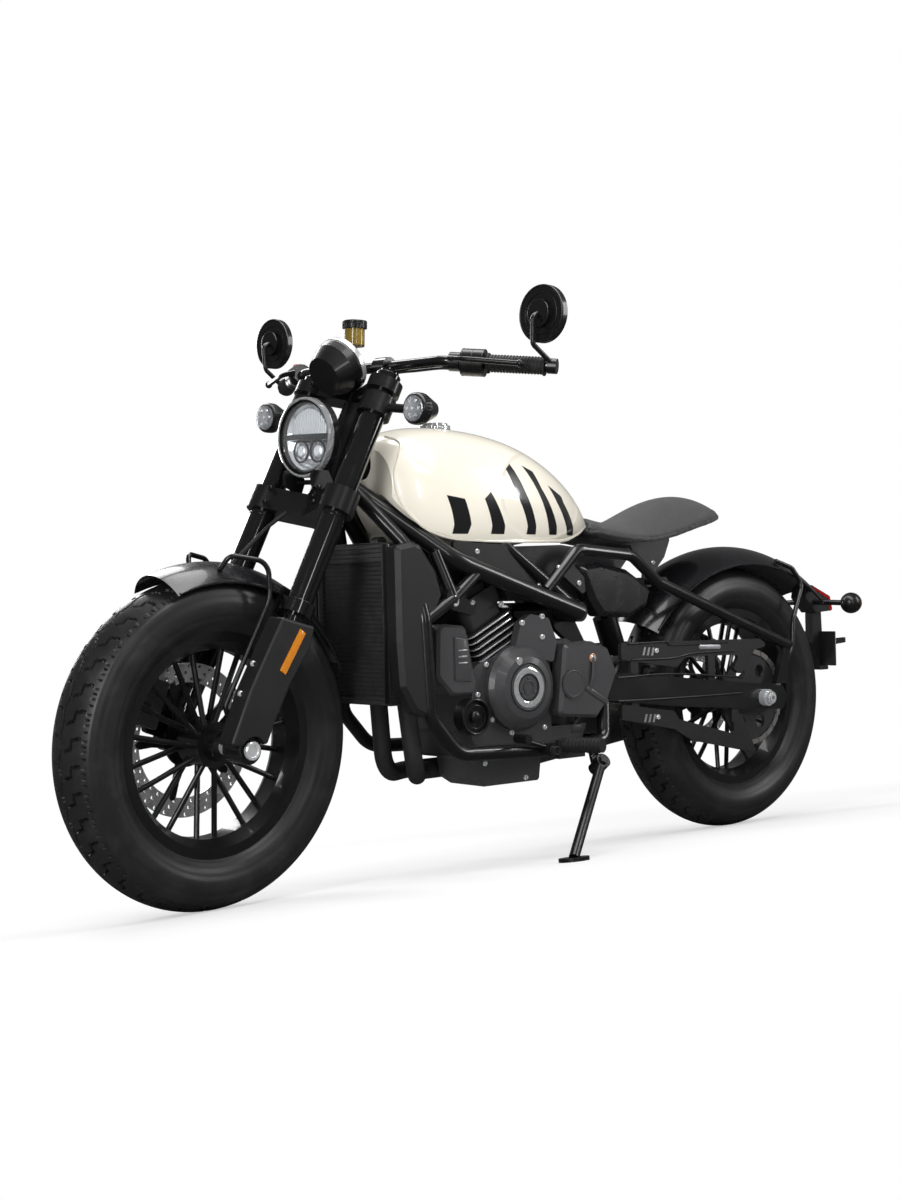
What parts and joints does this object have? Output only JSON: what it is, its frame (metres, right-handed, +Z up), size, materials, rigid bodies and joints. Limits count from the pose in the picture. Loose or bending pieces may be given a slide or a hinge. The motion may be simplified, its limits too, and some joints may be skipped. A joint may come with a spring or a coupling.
{
  "type": "bobber motorcycle",
  "caption": "Solo-seat bobber motorcycle leaning on its side stand, with turning wheels, steering and a folding stand.",
  "frame": {"origin": "on the floor, under the middle of the whole parked machine", "axes": "+X to the front wheel, +Y to the rider's left, +Z up; the machine leans to +Y onto its side stand"},
  "size_m": [2.3107, 0.9054, 1.2728],
  "materials": {
    "bar_black": "gloss black paint",
    "black_metal": "satin black metal",
    "caliper_metal": "dark grey casting",
    "chain_steel": "oiled steel",
    "chrome": "polished chrome",
    "cream_paint": "gloss pearl cream with black stripes",
    "disc_steel": "ground steel",
    "engine_black": "textured dark grey casting paint",
    "exhaust_black": "matte black heat paint",
    "fin_metal": "black fins with polished edges",
    "fluid_amber": "amber fluid in a clear pot",
    "fork_black": "glossy black anodising",
    "frame_black": "satin black paint",
    "gloss_black": "gloss black",
    "lamp_glass": "clear lens",
    "leather": "black leather",
    "rim_black": "satin black rim",
    "rubber": "black rubber",
    "silver_paint": "silver-grey satin",
    "steel": "turned steel",
    "textured_plastic": "fine textured black plastic",
    "tyre": "black tyre rubber"
  },
  "bodies": {
    "frame": {"main_frame": "frame_black", "swingarm": "frame_black", "rear_axle": "steel", "shock_absorber": "black_metal", "drive_chain": "chain_steel", "engine_block": "engine_black", "engine_cylinders": "fin_metal", "generator_cover": "engine_black", "sprocket_cover": "engine_black", "clutch_cover": "engine_black", "regulator_cover": "engine_black", "horn": "black_metal", "radiator": "black_metal", "radiator_shrouds": "textured_plastic", "fuel_tank": "cream_paint", "fuel_cap": "chrome", "seat": "leather", "seat_bracket": "silver_paint", "side_covers": "gloss_black", "frame_panels": "textured_plastic", "airbox": "textured_plastic", "exhaust_headers": "exhaust_black", "silencer": "exhaust_black", "footpegs": "rubber", "foot_controls": "black_metal", "chain_guards": "textured_plastic", "fender_rails": "frame_black", "rear_fender": "gloss_black", "tail_unit": "textured_plastic", "rear_signals": "black_metal", "rear_caliper": "caliper_metal"},
    "steering": {"fork_clamps": "black_metal", "fork_tubes": "fork_black", "fork_sliders": "fork_black", "fork_covers": "textured_plastic", "front_axle": "steel", "handlebar": "bar_black", "grips": "rubber", "hand_controls": "black_metal", "brake_reservoir": "fluid_amber", "mirrors": "black_metal", "gauge": "black_metal", "headlight": "lamp_glass", "headlight_bracket": "black_metal", "front_signals": "lamp_glass", "front_fender": "gloss_black", "fender_stays": "black_metal", "front_caliper": "caliper_metal", "brake_hose": "rubber"},
    "front_wheel": {"front_tyre": "tyre", "front_rim": "rim_black", "front_disc": "disc_steel"},
    "rear_wheel": {"rear_tyre": "tyre", "rear_rim": "rim_black", "rear_disc": "disc_steel", "rear_sprocket": "disc_steel"},
    "side_stand": {"side_stand": "black_metal"}
  },
  "joints": [
    {"name": "steering", "type": "hinge", "parent": "frame", "child": "steering", "pos_m": [0.79686, -0.11619, 0.29645], "axis": [-0.4533, 0.124, 0.8827], "range_deg": [-41.7, 28.3]},
    {"name": "front_wheel_spin", "type": "hinge", "parent": "steering", "child": "front_wheel", "pos_m": [0.83669, -0.10817, 0.31578], "axis": [-0.1041, 0.9761, -0.1906], "continuous": true},
    {"name": "rear_wheel_spin", "type": "hinge", "parent": "frame", "child": "rear_wheel", "pos_m": [-0.64803, -0.11293, 0.32076], "axis": [-0.0001, 0.9903, -0.1392], "continuous": true},
    {"name": "side_stand_fold", "type": "hinge", "parent": "frame", "child": "side_stand", "pos_m": [-0.05563, 0.04278, 0.19239], "axis": [0.0598, 0.8789, 0.4733], "range_deg": [0, 138.04]}
  ]
}
